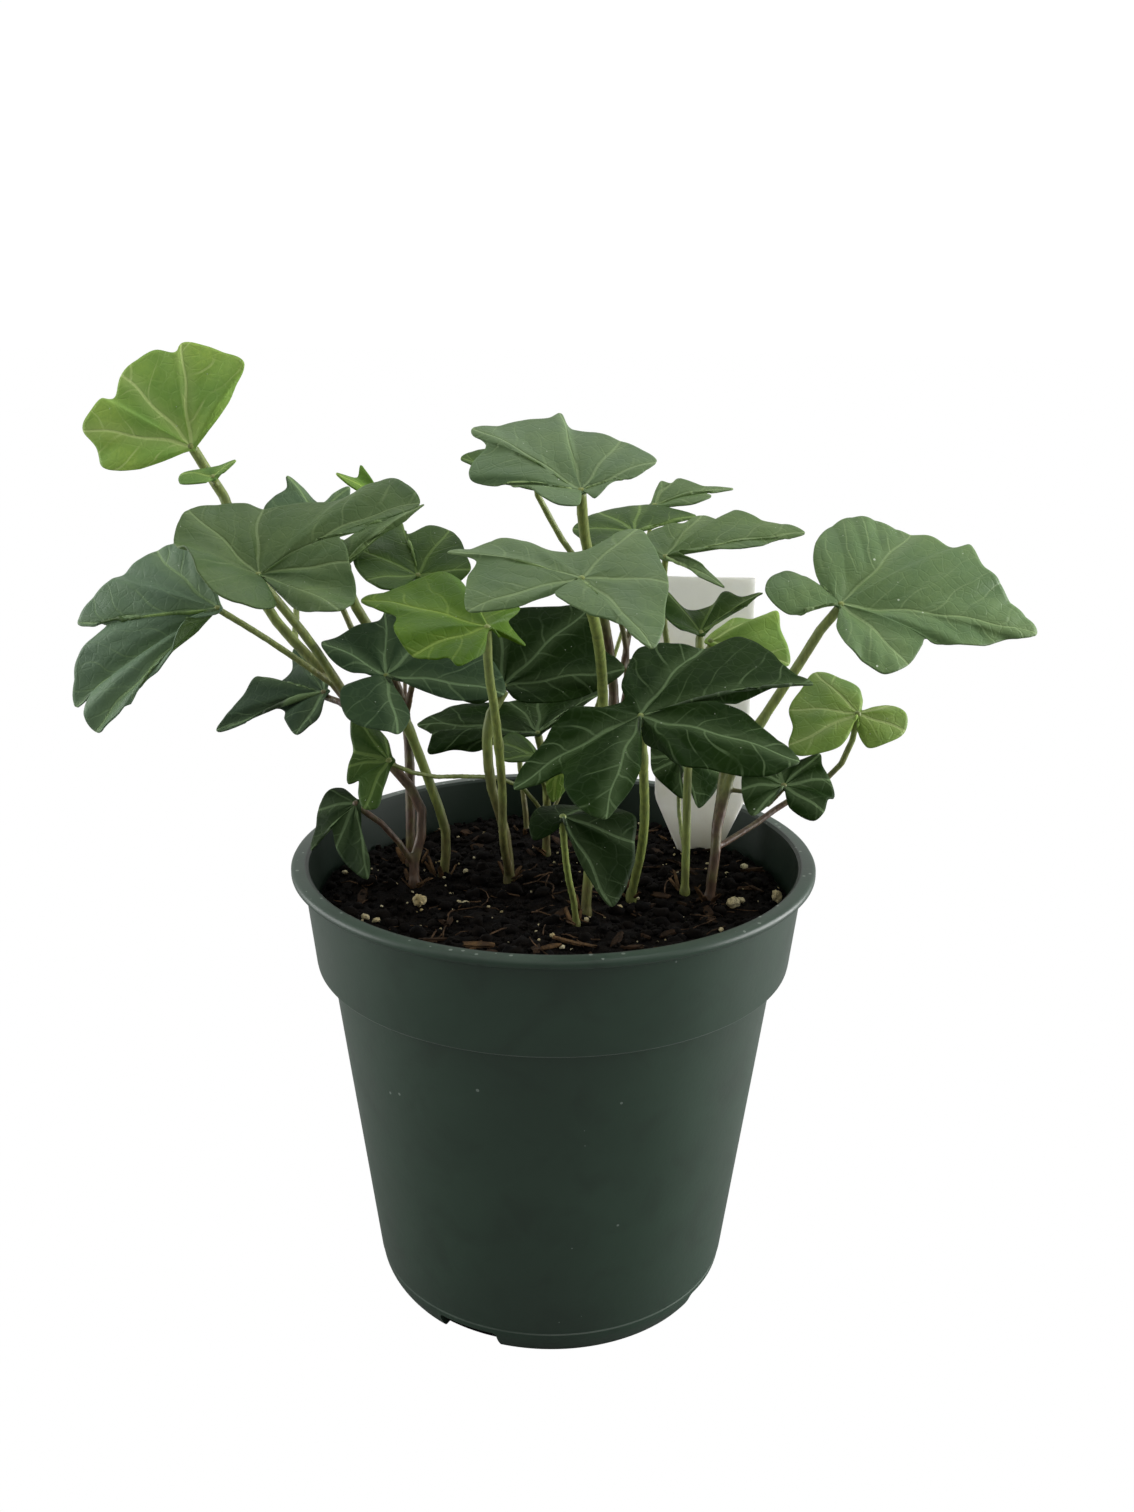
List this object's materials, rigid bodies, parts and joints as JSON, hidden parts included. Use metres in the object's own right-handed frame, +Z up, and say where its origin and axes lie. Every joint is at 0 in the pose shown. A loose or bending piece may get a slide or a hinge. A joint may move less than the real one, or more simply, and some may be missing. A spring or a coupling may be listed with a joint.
{
  "type": "potted ivy",
  "caption": "Young English ivy with lobed leaves on slender stems, growing in a round dark green plastic nursery pot with a blank plant tag.",
  "frame": {"origin": "centre of the pot's flat underside", "axes": "+Z up along the pot's axis; -Y is the front, where the plant is seen with its upright young leaf at the left (-X)"},
  "size_m": [0.2031, 0.1234, 0.2075],
  "materials": {
    "pot": "satin, thin injection-moulded polypropylene",
    "soil": "matte peat and bark mix",
    "perlite": "matte",
    "tag": "satin",
    "stem": "satin",
    "leaf_young": "satin",
    "leaf_light": "satin, waxy",
    "leaf_mid": "satin, waxy",
    "leaf_dark": "satin, waxy",
    "leaf_lime": "satin"
  },
  "bodies": {
    "root": {"pot": "pot", "soil": "soil", "grit_left": "perlite", "grit_right": "perlite", "grit_wall": "perlite", "plant_tag": "tag", "stem_left": "stem", "stem_left_green": "stem", "stem_left_back": "stem", "stem_centre": "stem", "stem_front": "stem", "stem_middle": "stem", "stem_front_green": "stem", "stem_right_green": "stem", "stem_right": "stem", "stem_back": "stem", "stem_rear": "stem", "stem_rear_right": "stem", "stem_low_front": "stem", "leaf_young_left": "leaf_young", "leaf_large_left": "leaf_light", "leaf_drooping_left": "leaf_mid", "leaf_low_left": "leaf_dark", "leaf_back_left": "leaf_mid", "leaf_under_left": "leaf_light", "leaf_bud_left": "leaf_lime", "leaf_mid_left": "leaf_mid", "leaf_lime_front": "leaf_lime", "leaf_dark_left": "leaf_dark", "leaf_dark_centre": "leaf_dark", "leaf_low_centre": "leaf_dark", "leaf_small_centre": "leaf_mid", "leaf_lime_low": "leaf_lime", "leaf_top": "leaf_light", "leaf_behind_top": "leaf_mid", "leaf_front": "leaf_light", "leaf_upper_right_small": "leaf_light", "leaf_upper_right_folded": "leaf_mid", "leaf_upper_right": "leaf_light", "leaf_large_right": "leaf_light", "leaf_behind_right": "leaf_young", "leaf_small_right": "leaf_mid", "leaf_dark_right": "leaf_dark", "leaf_bright_right": "leaf_young", "leaf_low_right": "leaf_dark", "leaf_behind_low_right": "leaf_dark", "leaf_low_front": "leaf_dark", "leaf_rim_left": "leaf_dark", "leaf_shoot": "leaf_lime", "leaf_above_rim_left": "leaf_mid", "leaf_rear_left": "leaf_mid", "leaf_rear_middle": "leaf_dark", "leaf_rear_right": "leaf_mid"}
  },
  "joints": []
}
